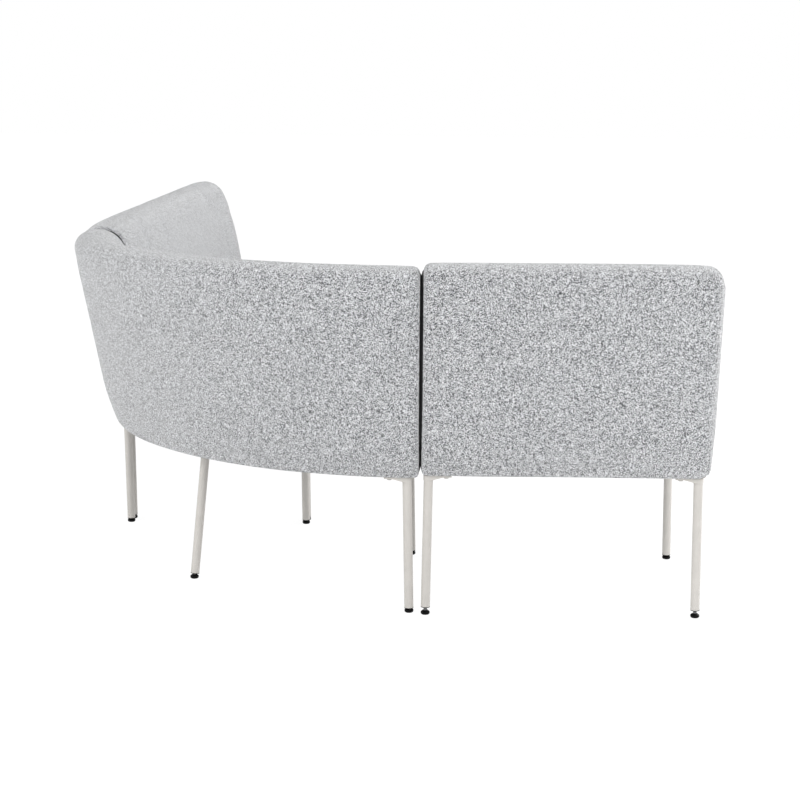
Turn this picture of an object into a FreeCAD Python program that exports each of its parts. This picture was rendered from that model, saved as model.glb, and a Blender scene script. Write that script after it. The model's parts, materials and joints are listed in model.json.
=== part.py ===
import FreeCAD, Part
import math
import os
from types import SimpleNamespace

Vector = FreeCAD.Vector
Placement = FreeCAD.Placement
Rotation = FreeCAD.Rotation

# An L-shaped upholstered banquette of three linked modules: a single straight one, a corner one
# whose back is a reclined quarter circle, and a long straight one.
# Millimetres and degrees, +Z up. The origin is on the floor, under the middle of the bounding box.
# +X runs along the single module away from the corner, +Y along the long one.

# Driving sizes

plan_sizes = {
    "module_width": 650,
    "long_module_width": 2200,
    "corner_reach": 794.5,
    "corner_angle": 90,
    "joint_gap": 3,
    "single_step_back": 13.4,
    "single_rear_raise": 7,
}

back_sizes = {
    "recline_angle": 10.9,
    "back_line_at_floor": 25.4,
    "back_top_height": 805,
    "back_thickness": 112,
    "back_rear_top_radius": 42,
    "back_front_top_radius": 69,
    "back_rear_bottom_radius": 22,
    "back_front_bottom_radius": 10,
    "back_crown": 12,
    "underside_height": 319,
}

seat_sizes = {
    "seat_edge_height": 442,
    "seat_crown": 8,
    "seat_front_overhang": 49.2,
    "seat_back_gap": 2,
    "seat_front_top_radius": 38,
    "seat_rear_top_radius": 24,
    "seat_front_bottom_radius": 14,
    "seat_rear_bottom_radius": 8,
}

upholstery_sizes = {
    "cover_thickness": 2.5,
    "joined_end_radius": 18,
    "free_end_radius": 28,
    "seat_joined_end_radius": 12,
    "seat_free_end_radius": 18,
    "dust_cover_thickness": 1,
    "dust_cover_border": 110,
    "dust_cover_overlap": 12,
}

frame_sizes = {
    "seat_board_thickness": 15,
    "seat_board_inset": 14,
    "seat_board_rear": 17,
    "back_board_thickness": 12,
    "back_board_inset": 30,
    "back_board_top_inset": 40,
    "back_bracket_thickness": 4,
    "back_bracket_width": 40,
    "back_bracket_foot": 32,
    "back_bracket_rise": 120,
    "back_bracket_end_distance": 110,
}

leg_sizes = {
    "leg_diameter": 21,
    "leg_wall": 2,
    "collar_height": 12,
    "collar_wall": 1,
    "leg_cap": 12,
    "leg_depth_spacing": 480.8,
    "joined_leg_inset": 13.1,
    "free_leg_inset": 22.6,
    "corner_leg_inset": 21.3,
    "corner_rear_middle_foot": 246.3,
    "leg_lean_sideways": 0.0132,
    "corner_leg_lean_sideways": 0.022,
    "leg_lean_back": 0.012,
    "corner_middle_leg_lean": 0.0901,
    "middle_glide_out": 2,
    "arm_length": 52,
    "arm_width": 22,
    "arm_root_height": 10,
    "arm_tip_height": 3.5,
    "arm_taper_end": 34,
    "arm_taper_radius": 26,
    "bolt_distance": 40,
    "bolt_radius": 3,
    "bolt_hole_radius": 3.3,
    "bolt_head_width": 10,
    "bolt_head_height": 4,
    "bolt_length": 18,
}

foot_sizes = {
    "insert_flange": 1.6,
    "insert_spigot": 14,
    "insert_fit": 0.15,
    "insert_bore_radius": 4.3,
    "stem_radius": 4,
    "stem_length": 46,
    "pad_radius": 10.3,
    "pad_height": 9.4,
    "pad_edge_rise": 2.2,
    "pad_edge_inset": 1.8,
    "pad_side_height": 6,
    "pad_top_radius": 6,
    "pad_clearance": 0.5,
}

link_sizes = {
    "clip_height": 291,
    "clip_thickness": 10,
    "clip_wall": 5,
    "clip_fit": 0.5,
}

overrun_sizes = {
    "overrun": 8,
}

# Shares of the sizes that they follow, and counts
long_middle_share = 0.5
corner_bracket_shares = (1 / 6, 1 / 2, 5 / 6)
hexagon_sides = 6
single_bracket_count = 2
long_bracket_count = 4

doc = FreeCAD.newDocument("Banquette")
sheet = doc.addObject("Spreadsheet::Sheet", "Sizes")
driving = {}
for group in (plan_sizes, back_sizes, seat_sizes, upholstery_sizes, frame_sizes,
              leg_sizes, foot_sizes, link_sizes, overrun_sizes):
    driving.update(group)
for row, (alias, value) in enumerate(driving.items(), start=1):
    sheet.set("A%d" % row, alias)
    sheet.set("B%d" % row, str(value))
    sheet.setAlias("B%d" % row, alias)
doc.recompute()
d = SimpleNamespace(**{alias: float(sheet.get(alias)) for alias in driving})

parts = {}


def keep(node, item, placement):
    """Names a finished sub-part and puts it in its place."""
    item.Label = node
    item.Placement = placement
    parts[node] = item
    return item


# Outlines: lists of (corner, radius), turned into lines and tangent arcs


def corner_turn(before, corner, after):
    arriving = (corner - before).normalize()
    leaving = (after - corner).normalize()
    return arriving, leaving, arriving.getAngle(leaving)


def rounded_edges(corners):
    """Edges of a closed outline whose corners are rounded by tangent arcs."""
    count = len(corners)
    rounds = []
    for index, (corner, radius) in enumerate(corners):
        before = corners[index - 1][0]
        after = corners[(index + 1) % count][0]
        arriving, leaving, turn = corner_turn(before, corner, after)
        reach = radius * math.tan(turn / 2)
        start = corner - arriving * reach
        end = corner + leaving * reach
        inward = (leaving - arriving).normalize()
        middle = corner + inward * (radius / math.cos(turn / 2) - radius)
        rounds.append((start, middle, end, radius))
    edges = []
    for index, (start, middle, end, radius) in enumerate(rounds):
        if radius > 0:
            edges.append(Part.Arc(start, middle, end))
        following = rounds[(index + 1) % count][0]
        if end.distanceToPoint(following) > 1e-6:
            edges.append(Part.LineSegment(end, following))
    return edges


def point(y, z):
    return Vector(y, z, 0)


recline = math.radians(d.recline_angle)
across = point(math.cos(recline), math.sin(recline))
upward = point(-math.sin(recline), math.cos(recline))
rear_line = point(d.back_line_at_floor, 0)


def panel_point(depth, rise):
    """A point of the reclined panel: depth from its rear face, rise along it."""
    return rear_line + across * depth + upward * rise


def panel_point_at(depth, height):
    """The point at that depth whose height above the floor is given."""
    return panel_point(depth, (height - depth * across.y) / upward.y)


seat_front = d.leg_depth_spacing + d.seat_front_overhang
top_arc_depth = d.back_thickness - d.back_front_top_radius
top_arc_height = d.back_top_height - d.back_front_top_radius
panel_rise = (top_arc_height - top_arc_depth * across.y) / upward.y + d.back_front_top_radius


def crown_corner(first, last, crown, rounding):
    """The corner between two others that crowns the side by that much, with its radius.

    The crown's arc fills the side up to the given rounding at its ends."""
    half = first.distanceToPoint(last) / 2
    arc_part = 1 - rounding / half
    direction = (last - first).normalize()
    outward = Vector(direction.y, -direction.x, 0)
    rise = crown / (1 - arc_part / 2)
    corner = (first + last) / 2 + outward * rise
    turn = 2 * math.atan2(rise, half)
    side = math.hypot(rise, half)
    return corner, arc_part * side / math.tan(turn / 2)


def back_outline(inset):
    """Section of the back panel, anticlockwise from its lower rear corner, y forward."""
    low = d.underside_height + inset
    front = d.back_thickness - inset
    top = panel_rise - inset
    front_low = panel_point_at(front, low)
    front_high = panel_point(front, top)
    front_radius = d.back_front_top_radius - inset
    crown = crown_corner(front_low, front_high, d.back_crown, front_radius)
    return [
        (panel_point_at(inset, low), d.back_rear_bottom_radius - inset),
        (front_low, d.back_front_bottom_radius - inset),
        crown,
        (front_high, front_radius),
        (panel_point(inset, top), d.back_rear_top_radius - inset),
    ]


def seat_rear(height):
    """How far forward the back's front face, with the seat's clearance, is at that height."""
    outline = back_outline(0)
    low = outline[1][0]
    crown = outline[2][0]
    slope = (crown.x - low.x) / (crown.y - low.y)
    return low.x + slope * (height - low.y) + d.seat_back_gap


def seat_outline(inset):
    """Section of the seat pad, anticlockwise from its lower rear corner, y forward."""
    low = d.underside_height + inset
    high = d.seat_edge_height - inset
    rear_low = point(seat_rear(low) + inset, low)
    front_low = point(seat_front - inset, low)
    front_high = point(seat_front - inset, high)
    rear_high = point(seat_rear(high) + inset, high)
    return [
        (rear_low, d.seat_rear_bottom_radius - inset),
        (front_low, d.seat_front_bottom_radius - inset),
        (front_high, d.seat_front_top_radius - inset),
        crown_corner(front_high, rear_high, d.seat_crown, d.seat_front_top_radius - inset),
        (rear_high, d.seat_rear_top_radius - inset),
    ]


def sharp(*corners):
    return [(corner, 0) for corner in corners]


board_bottom = d.underside_height + d.cover_thickness
board_top = board_bottom + d.seat_board_thickness
board_front = seat_front - d.seat_board_inset


def seat_board_outline():
    return sharp(point(-d.seat_board_rear, board_bottom), point(board_front, board_bottom),
                 point(board_front, board_top), point(-d.seat_board_rear, board_top))


board_rear_depth = (d.back_thickness - d.back_board_thickness) / 2
board_front_depth = board_rear_depth + d.back_board_thickness


def back_board_outline():
    top = panel_rise - d.back_board_top_inset
    return sharp(panel_point_at(board_rear_depth, board_top),
                 panel_point_at(board_front_depth, board_top),
                 panel_point(board_front_depth, top), panel_point(board_rear_depth, top))


def back_bracket_outline():
    """An angle bracket: its foot on the seat board, its arm up the back board's front."""
    heel = panel_point_at(board_front_depth, board_top)
    arm_depth = board_front_depth + d.back_bracket_thickness
    foot_top = board_top + d.back_bracket_thickness
    toe = heel + point(d.back_bracket_foot, 0)
    tip = heel + upward * d.back_bracket_rise
    return sharp(heel, toe, toe + point(0, d.back_bracket_thickness),
                 panel_point_at(arm_depth, foot_top), tip + across * d.back_bracket_thickness, tip)


def underside_outline(border, low, high):
    """Section of something flat under the seat that stays that far inside the seat's edges."""
    rear = seat_rear(d.underside_height) + border
    front = seat_front - border
    return sharp(point(rear, low), point(front, low), point(front, high), point(rear, high))


def window_outline():
    """The opening between the seat cover's turned-in edges, up to the board."""
    return underside_outline(d.dust_cover_border + d.dust_cover_overlap,
                             d.underside_height - d.overrun, board_bottom)


def dust_cover_outline():
    """The lining that closes that opening, stapled under the turned-in edges."""
    return underside_outline(d.dust_cover_border, d.underside_height - d.dust_cover_thickness,
                             d.underside_height)


# Modules: how each one's section is carried along it


def straight_module(name, width_alias):
    return SimpleNamespace(name=name, curved=False, width=getattr(d, width_alias),
                           width_alias=width_alias)


single = straight_module("single", "module_width")
longer = straight_module("long", "long_module_width")
corner = SimpleNamespace(name="corner", curved=True)


def origin_plane(body, role):
    return next(item for item in body.Origin.OriginFeatures if item.Role == role)


def add_sketch(body, name, role, edges):
    sketch = body.newObject("Sketcher::SketchObject", name)
    sketch.AttachmentSupport = (origin_plane(body, role), [""])
    sketch.MapMode = "FlatFace"
    sketch.addGeometry(edges, False)
    return sketch


def outline_radius(outline):
    """Distance of an outline's middle from the corner module's upright axis."""
    depths = [corner_point.x for corner_point, _ in outline]
    return d.corner_reach - (min(depths) + max(depths)) / 2


def outline_area(edges):
    return Part.Face(Part.Wire([edge.toShape() for edge in edges])).Area


def swept_body(module, name, outline, end_aliases=(), start=None, length_alias=None):
    """A body that carries an outline along a module.

    It stops short of both ends by the sum of the end sizes, or runs from start for a length."""
    body = doc.addObject("PartDesign::Body", module.name + "_" + name)
    if start is None:
        start = sum(getattr(d, alias) for alias in end_aliases)
    whole_length = "".join(" - 2 * Sizes." + alias for alias in end_aliases)
    if module.curved:
        radius = outline_radius(outline)
        outline = [(corner_point - point(d.corner_reach, 0), rounding)
                   for corner_point, rounding in outline]
        sketch = add_sketch(body, body.Name + "_outline", "YZ_Plane", rounded_edges(outline))
        turn = body.newObject("PartDesign::Revolution", body.Name + "_turn")
        turn.Profile = sketch
        turn.ReferenceAxis = (sketch, ["V_Axis"])
        first = math.degrees(start / radius)
        if length_alias:
            turn.Angle = math.degrees(getattr(d, length_alias) / radius)
        elif end_aliases:
            turn.Angle = d.corner_angle - 2 * first
        else:
            turn.setExpression("Angle", "Sizes.corner_angle")
        body.Placement = Placement(Vector(d.corner_reach, d.corner_reach, 0),
                                   Rotation(Vector(0, 0, 1), first - d.corner_angle))
        body.Tip = turn
        return body
    sketch = add_sketch(body, body.Name + "_outline", "YZ_Plane", rounded_edges(outline))
    pad = body.newObject("PartDesign::Pad", body.Name + "_pad")
    pad.Profile = sketch
    if length_alias:
        pad.setExpression("Length", "Sizes." + length_alias)
    else:
        pad.setExpression("Length", "Sizes." + module.width_alias + whole_length)
    body.Placement = Placement(Vector(start, 0, 0), Rotation())
    body.Tip = pad
    return body


def edge_names(shape, edges):
    return ["Edge%d" % number for number, edge in enumerate(shape.Edges, start=1)
            if any(edge.isSame(other) for other in edges)]


def round_end(body, area, radius_alias, inset_aliases, far_end):
    """Rounds the edges round one end face of a swept body, the one at low or at high X."""
    doc.recompute()
    tip = body.Tip
    faces = [face for face in tip.Shape.Faces
             if isinstance(face.Surface, Part.Plane) and abs(face.Area - area) < area / 1000]
    faces.sort(key=lambda face: face.CenterOfMass.x)
    face = faces[-1] if far_end else faces[0]
    fillet = body.newObject("PartDesign::Fillet", tip.Name + ("_far_end" if far_end else "_end"))
    fillet.Base = (tip, edge_names(tip.Shape, face.Edges))
    inset = "".join(" - Sizes." + alias for alias in inset_aliases)
    fillet.setExpression("Radius", "Sizes." + radius_alias + inset)
    body.Tip = fillet


def cushion_body(module, name, outline_of, radius_aliases, inset_aliases=()):
    """An upholstered form with rounded ends: the cover's outside, or with an inset the foam."""
    outline = outline_of(sum(getattr(d, alias) for alias in inset_aliases))
    body = swept_body(module, name, outline, inset_aliases)
    area = outline_area(rounded_edges(outline))
    round_end(body, area, radius_aliases[0], inset_aliases, False)
    round_end(body, area, radius_aliases[1], inset_aliases, True)
    return body


def cut(name, base, *tools):
    for number, tool in enumerate(tools, start=1):
        result = doc.addObject("Part::Cut", "%s_cut_%d" % (name, number))
        result.Base = base
        result.Tool = tool
        base = result
    return base


def fuse(name, *items):
    result = doc.addObject("Part::MultiFuse", name)
    result.Shapes = list(items)
    return result


def group(name, items):
    result = doc.addObject("Part::Compound", name)
    result.Links = items
    return result


def cylinder(name, height, placement, radius_expression):
    result = doc.addObject("Part::Cylinder", name)
    result.Height = height
    result.Placement = placement
    result.setExpression("Radius", radius_expression)
    return result


def turned_body(name, outline):
    """A body turned about Z from an outline of (radius, height) corners."""
    body = doc.addObject("PartDesign::Body", name)
    sketch = add_sketch(body, name + "_outline", "XZ_Plane", rounded_edges(outline))
    turn = body.newObject("PartDesign::Revolution", name + "_turn")
    turn.Profile = sketch
    turn.ReferenceAxis = (sketch, ["V_Axis"])
    body.Tip = turn
    return body


# Where the modules stand: the origin goes under the middle of the bounding box

step = d.corner_reach + d.joint_gap
tilt = math.degrees(math.asin(d.single_rear_raise / d.leg_depth_spacing))
single_tilt = Placement(Vector(), Rotation(Vector(1, 0, 0), -tilt), Vector(0, d.leg_depth_spacing, 0))

rear_arc = panel_point(d.back_rear_top_radius, panel_rise - d.back_rear_top_radius)
rearmost = rear_arc.x - d.back_rear_top_radius
single_arc = single_tilt.multVec(Vector(0, rear_arc.x, rear_arc.y))
single_rearmost = single_arc.y - d.back_rear_top_radius - d.single_step_back
centre = Vector((rearmost + step + d.module_width) / 2,
                (min(rearmost, single_rearmost) + step + d.long_module_width) / 2, 0)

corner.place = Placement(-centre, Rotation())
single.place = (corner.place * Placement(Vector(step, -d.single_step_back, 0), Rotation())
                * single_tilt)
longer.place = corner.place * Placement(Vector(0, step + d.long_module_width, 0),
                                        Rotation(Vector(0, 0, 1), -90))

# Legs: each has a foot point in its module's frame, the sideways and forward lean of its tube
# for each unit of height, and the turn of its bracket about the upright axis


def leg(name, x, y, lean_x, lean_y, turn, glide_out=0):
    return SimpleNamespace(name=name, x=x, y=y, lean_x=lean_x, lean_y=lean_y, turn=turn,
                           glide_out=glide_out)


def straight_legs(low_end, low_inset, high_end, high_inset, width):
    sideways = d.leg_lean_sideways
    back = -d.leg_lean_back
    high = width - high_inset
    front = d.leg_depth_spacing
    return [
        leg("rear_" + low_end, low_inset, 0, sideways, back, 0),
        leg("rear_" + high_end, high, 0, -sideways, back, 90),
        leg("front_" + high_end, high, front, -sideways, back, 180),
        leg("front_" + low_end, low_inset, front, sideways, back, 270),
    ]


single.legs = straight_legs("inner", d.joined_leg_inset, "outer", d.free_leg_inset, d.module_width)
longer.legs = straight_legs("outer", d.free_leg_inset, "inner", d.joined_leg_inset,
                            d.long_module_width)
long_middle = d.long_module_width * long_middle_share
longer.legs.append(leg("rear_middle", long_middle, 0, 0, -d.leg_lean_back, 0))
longer.legs.append(leg("front_middle", long_middle, d.leg_depth_spacing, 0, -d.leg_lean_back, 270))
corner_leg = d.corner_reach - d.corner_leg_inset
corner_lean = -d.corner_leg_lean_sideways
back_lean = -d.leg_lean_back
corner.legs = [
    leg("rear_single_side", corner_leg, 0, corner_lean, back_lean, 90),
    leg("front_single_side", corner_leg, d.leg_depth_spacing, corner_lean, back_lean, 180),
    leg("rear_long_side", 0, corner_leg, back_lean, corner_lean, 270),
    leg("front_long_side", d.leg_depth_spacing, corner_leg, back_lean, corner_lean, 180),
    leg("rear_middle", d.corner_rear_middle_foot, d.corner_rear_middle_foot,
        d.corner_middle_leg_lean, d.corner_middle_leg_lean, 0, d.middle_glide_out),
]

# The welded bracket at a leg's top: two tapered arms at right angles, its origin at the leg's
# centre in the plane of the seat's underside

tube_radius = d.leg_diameter / 2
bore_radius = tube_radius - d.leg_wall


def arm_outline():
    return [
        (point(0, 0), 0),
        (point(0, -d.arm_root_height), 0),
        (point(tube_radius, -d.arm_root_height), 0),
        (point(d.arm_taper_end, -d.arm_tip_height), d.arm_taper_radius),
        (point(d.arm_length, -d.arm_tip_height), 0),
        (point(d.arm_length, 0), 0),
    ]


bracket = doc.addObject("PartDesign::Body", "leg_bracket")
for role in ("XZ_Plane", "YZ_Plane"):
    arm_sketch = add_sketch(bracket, "arm_outline_" + role[:2], role, rounded_edges(arm_outline()))
    arm = bracket.newObject("PartDesign::Pad", "arm_" + role[:2])
    arm.Profile = arm_sketch
    arm.Midplane = True
    arm.setExpression("Length", "Sizes.arm_width")
    bracket.Tip = arm
hole_sketch = add_sketch(bracket, "bolt_hole_circles", "XY_Plane", [
    Part.Circle(Vector(x, y, 0), Vector(0, 0, 1), d.bolt_hole_radius)
    for x, y in ((d.bolt_distance, 0), (0, d.bolt_distance))])
bolt_holes = bracket.newObject("PartDesign::Pocket", "bolt_holes")
bolt_holes.Profile = hole_sketch
bolt_holes.Type = "ThroughAll"
bolt_holes.Midplane = True
bracket.Tip = bolt_holes

above = doc.addObject("Part::Box", "above_bracket")
for side in ("Length", "Width", "Height"):
    above.setExpression(side, "2 * Sizes.arm_length")
above.Placement = Placement(Vector(-d.arm_length, -d.arm_length, 0), Rotation())

# What goes into and under a leg: the threaded insert in the tube's end, its origin in the middle
# of that end, the glide's pad, its origin on the floor, and the bracket's hexagon bolt, its origin
# in the face under its head

insert_outline = sharp(
    point(d.insert_bore_radius, -d.insert_flange), point(tube_radius, -d.insert_flange),
    point(tube_radius, 0), point(bore_radius - d.insert_fit, 0),
    point(bore_radius - d.insert_fit, d.insert_spigot),
    point(d.insert_bore_radius, d.insert_spigot))
pad_outline = sharp(
    point(0, 0), point(d.pad_radius - d.pad_edge_inset, 0), point(d.pad_radius, d.pad_edge_rise),
    point(d.pad_radius, d.pad_side_height), point(d.pad_top_radius, d.pad_height),
    point(0, d.pad_height))
foot_pad = turned_body("foot_pad", pad_outline)


def make_bolt(name, placement):
    """A hexagon-head bolt, its shank going up from the face under its head."""
    head = doc.addObject("Part::Prism", name + "_head")
    head.Polygon = hexagon_sides
    head.setExpression("Circumradius", "Sizes.bolt_head_width / sqrt(3)")
    head.setExpression("Height", "Sizes.bolt_head_height")
    head.Placement = upright(0, 0, -d.bolt_head_height)
    shank = cylinder(name + "_shank", d.bolt_length, Placement(), "Sizes.bolt_radius")
    bolt = fuse(name, head, shank)
    bolt.Placement = placement
    return bolt


def upright(x, y, height=0):
    return Placement(Vector(x, y, height), Rotation())


def make_leg(module, spec):
    """One leg: bracket and tube welded in one piece, its insert, its bolts and its glide."""
    full_name = "%s_leg_%s" % (module.name, spec.name)
    lean = Vector(spec.lean_x, spec.lean_y, 1)
    top = Vector(spec.x, spec.y, 0) + lean * d.underside_height
    place = Placement(top, Rotation(Vector(0, 0, 1), spec.turn))
    axis = place.Rotation.inverted().multVec(lean).normalize()
    along = Rotation(Vector(0, 0, 1), axis)
    foot_to_tube = d.pad_height + d.pad_clearance + d.insert_flange + spec.glide_out
    tube_length = d.underside_height * lean.Length - foot_to_tube
    tube = cylinder(full_name + "_tube", tube_length + d.overrun,
                    Placement(axis * -tube_length, along), "Sizes.leg_diameter / 2")
    bore = cylinder(full_name + "_bore", tube_length - d.leg_cap + d.overrun,
                    Placement(axis * -(tube_length + d.overrun), along),
                    "Sizes.leg_diameter / 2 - Sizes.leg_wall")
    collar = cylinder(full_name + "_collar", d.collar_height + d.overrun,
                      Placement(axis * -d.collar_height, along),
                      "Sizes.leg_diameter / 2 + Sizes.collar_wall")
    welded = fuse(full_name + "_welded", tube, collar, bracket)
    keep(full_name, cut(full_name, welded, bore, above), module.place * place)

    insert = turned_body(full_name + "_insert", insert_outline)
    insert.Placement = module.place * place * Placement(axis * -tube_length, along)
    module.inserts.append(insert)

    for number, (x, y) in enumerate(((d.bolt_distance, 0), (0, d.bolt_distance)), start=1):
        name = "%s_bolt_%d" % (full_name, number)
        hole = cylinder(name + "_hole", d.bolt_length + d.overrun, place * upright(x, y, -d.overrun),
                        "Sizes.bolt_hole_radius")
        module.bolt_holes.append(hole)
        seat = module.place * place * upright(x, y, -d.arm_tip_height)
        module.bolts.append(make_bolt(name, seat))

    joint = module.place * place
    direction = joint.Rotation.multVec(axis)
    reach = joint.Base.z / direction.z
    foot = joint.Base - direction * reach
    out = reach - d.underside_height * lean.Length + spec.glide_out
    glide_name = full_name.replace("_leg_", "_glide_")
    stem = cylinder(glide_name + "_stem", d.stem_length - d.pad_height / 2,
                    Placement(direction * (d.pad_height / 2), Rotation(Vector(0, 0, 1), direction)),
                    "Sizes.stem_radius")
    keep(glide_name, fuse(glide_name + "_solid", foot_pad, stem), Placement(foot, Rotation()))
    print("%s foot %.3f %.3f %.3f up %.6f %.6f %.6f out %.3f tube %.3f"
          % (glide_name, *foot, *direction, out, tube_length))


for module in (single, corner, longer):
    module.inserts = []
    module.bolt_holes = []
    module.bolts = []
    for spec in module.legs:
        make_leg(module, spec)
    keep(module.name + "_leg_inserts", group(module.name + "_inserts", module.inserts), Placement())
keep("bracket_bolts", group("all_bracket_bolts", single.bolts + corner.bolts + longer.bolts),
     Placement())

# Upholstery and frames of a module


def make_upholstery(module, back_ends, seat_ends, bracket_starts):
    name = module.name
    place = module.place
    holes = group(name + "_bolt_holes", module.bolt_holes)
    board = swept_body(module, "board", seat_board_outline(), ["seat_board_inset"])
    keep(name + "_seat_board", cut(name + "_seat_board", board, holes), place)

    back_outside = cushion_body(module, "back_outside", back_outline, back_ends)
    back_inside = cushion_body(module, "back_inside", back_outline, back_ends, ["cover_thickness"])
    upright_board = swept_body(module, "upright_board", back_board_outline(), ["back_board_inset"])
    brackets = group(name + "_angles", [
        swept_body(module, "angle_%d" % number, back_bracket_outline(), start=start,
                   length_alias="back_bracket_width")
        for number, start in enumerate(bracket_starts, start=1)])
    keep(name + "_back_cover", cut(name + "_back_cover", back_outside, back_inside, board, holes), place)
    keep(name + "_back_foam", cut(name + "_back_foam", back_inside, board, upright_board, brackets),
         place)
    keep(name + "_back_board", group(name + "_back_panel_board", [upright_board]), place)
    keep(name + "_back_brackets", group(name + "_angle_brackets", [brackets]), place)

    seat_outside = cushion_body(module, "seat_outside", seat_outline, seat_ends)
    seat_inside = cushion_body(module, "seat_inside", seat_outline, seat_ends, ["cover_thickness"])
    window = swept_body(module, "window", window_outline(),
                        ["dust_cover_border", "dust_cover_overlap"])
    lining = swept_body(module, "lining", dust_cover_outline(), ["dust_cover_border"])
    keep(name + "_seat_cover", cut(name + "_seat_cover", seat_outside, seat_inside, board, window,
                                   holes), place)
    keep(name + "_seat_foam", cut(name + "_seat_foam", seat_inside, board), place)
    keep(name + "_dust_cover", group(name + "_lining_sheet", [lining]), place)


def straight_bracket_starts(width, count):
    first = d.back_bracket_end_distance
    pitch = (width - 2 * first - d.back_bracket_width) / (count - 1)
    return [first + pitch * index for index in range(count)]


joined = ("joined_end_radius", "seat_joined_end_radius")
free = ("free_end_radius", "seat_free_end_radius")
make_upholstery(single, (joined[0], free[0]), (joined[1], free[1]),
                straight_bracket_starts(d.module_width, single_bracket_count))
make_upholstery(longer, (free[0], joined[0]), (free[1], joined[1]),
                straight_bracket_starts(d.long_module_width, long_bracket_count))
bracket_arc = outline_radius(back_bracket_outline()) * math.radians(d.corner_angle)
make_upholstery(corner, (joined[0], joined[0]), (joined[1], joined[1]),
                [bracket_arc * share - d.back_bracket_width / 2 for share in corner_bracket_shares])

# Link clips: a figure-of-eight plate round the two front legs that meet at each joint


def leg_centre(module, leg_name, height):
    spec = next(item for item in module.legs if item.name == leg_name)
    start = module.place.multVec(Vector(spec.x, spec.y, 0))
    lean = module.place.Rotation.multVec(Vector(spec.lean_x, spec.lean_y, 1))
    return start + lean * ((height - start.z) / lean.z)


def link_clip(name, first, second):
    span = second - first
    hole_radius = tube_radius + d.clip_fit
    end_radius = hole_radius + d.clip_wall
    length = span.Length
    body = doc.addObject("PartDesign::Body", name)
    side = Vector(0, end_radius, 0)
    far = Vector(length, 0, 0)
    sketch = add_sketch(body, name + "_outline", "XY_Plane", [
        Part.Arc(side, Vector(-end_radius, 0, 0), -side),
        Part.LineSegment(-side, far - side),
        Part.Arc(far - side, far + Vector(end_radius, 0, 0), far + side),
        Part.LineSegment(far + side, side),
        Part.Circle(Vector(0, 0, 0), Vector(0, 0, 1), hole_radius),
        Part.Circle(far, Vector(0, 0, 1), hole_radius)])
    clip = body.newObject("PartDesign::Pad", name + "_pad")
    clip.Profile = sketch
    clip.Midplane = True
    clip.setExpression("Length", "Sizes.clip_thickness")
    body.Tip = clip
    body.Placement = Placement(first, Rotation(Vector(1, 0, 0), span))
    return body


clips = [
    link_clip("single_side_clip", leg_centre(corner, "front_single_side", d.clip_height),
              leg_centre(single, "front_inner", d.clip_height)),
    link_clip("long_side_clip", leg_centre(corner, "front_long_side", d.clip_height),
              leg_centre(longer, "front_inner", d.clip_height)),
]
keep("leg_link_clips", group("link_clips", clips), Placement())

doc.recompute()
for item in doc.Objects:
    if "Invalid" in item.State or "Error" in item.State:
        raise RuntimeError("%s (%s) did not build" % (item.Label, item.Name))
os.makedirs("parts", exist_ok=True)
for node, item in parts.items():
    shape = item.Shape
    if shape.isNull() or not shape.isValid():
        raise RuntimeError(node + " is not a valid shape")
    shape.exportStep("parts/%s.step" % node)
    print("%-32s %3d solids %5d faces %12.0f mm3" % (node, len(shape.Solids), len(shape.Faces),
                                                    shape.Volume))
print("%d nodes" % len(parts))
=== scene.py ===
import json
import math

import bpy
from mathutils import Matrix, Vector, noise


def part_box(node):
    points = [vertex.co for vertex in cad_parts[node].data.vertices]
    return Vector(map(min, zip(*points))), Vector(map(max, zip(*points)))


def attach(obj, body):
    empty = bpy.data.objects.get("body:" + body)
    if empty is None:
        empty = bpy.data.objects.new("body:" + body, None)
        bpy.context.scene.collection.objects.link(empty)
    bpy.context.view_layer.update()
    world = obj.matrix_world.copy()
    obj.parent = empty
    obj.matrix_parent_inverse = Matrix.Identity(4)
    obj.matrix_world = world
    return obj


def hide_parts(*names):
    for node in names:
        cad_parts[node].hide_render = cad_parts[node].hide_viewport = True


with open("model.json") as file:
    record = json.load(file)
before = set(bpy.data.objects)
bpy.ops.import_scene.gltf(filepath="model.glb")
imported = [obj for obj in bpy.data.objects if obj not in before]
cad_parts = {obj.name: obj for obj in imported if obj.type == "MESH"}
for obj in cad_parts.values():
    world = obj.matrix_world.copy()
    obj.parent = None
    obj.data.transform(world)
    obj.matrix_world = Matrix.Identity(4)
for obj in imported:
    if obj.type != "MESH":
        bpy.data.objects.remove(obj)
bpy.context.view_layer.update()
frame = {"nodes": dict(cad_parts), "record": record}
print("frame loaded")

# The bench's plan, in metres. Every module has its own frame: x along it, y forward from its rear feet
plan = {
    "cornerReach": 0.7945,
    "cornerRearRadius": 0.87,  # near the middle of the curved back's rear face
    "jointGap": 0.003,
    "singleWidth": 0.65,
    "longWidth": 2.2,
    "singleStepBack": 0.0134,
    "singleRearRaise": 0.007,
    "legSpacing": 0.4808,
}

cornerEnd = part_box("corner_back_cover")[1]
cornerOrigin = Vector((cornerEnd.x - plan["cornerReach"], cornerEnd.y - plan["cornerReach"], 0))
step = plan["cornerReach"] + plan["jointGap"]


def addObject(name, data):
    added = bpy.data.objects.new(name, data)
    bpy.context.scene.collection.objects.link(added)
    return added


def newMesh(name, points, faces, edges=()):
    mesh = bpy.data.meshes.new(name)
    mesh.from_pydata([tuple(point) for point in points], edges, faces)
    mesh.polygons.foreach_set("use_smooth", [True] * len(mesh.polygons))
    return addObject(name, mesh)


# Camera, where the photograph was taken from: behind the bench, a little above its back
cameraPlace = {
    "fromCorner": (0.81466, -3.73099, 1.20452),
    "turn": -0.017557,
    "lookDown": 0.188079,
    "roll": 0.007352,
    "lens": 76.302,
    "sensor": 36.0,
    "farthest": 50,
}


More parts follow.
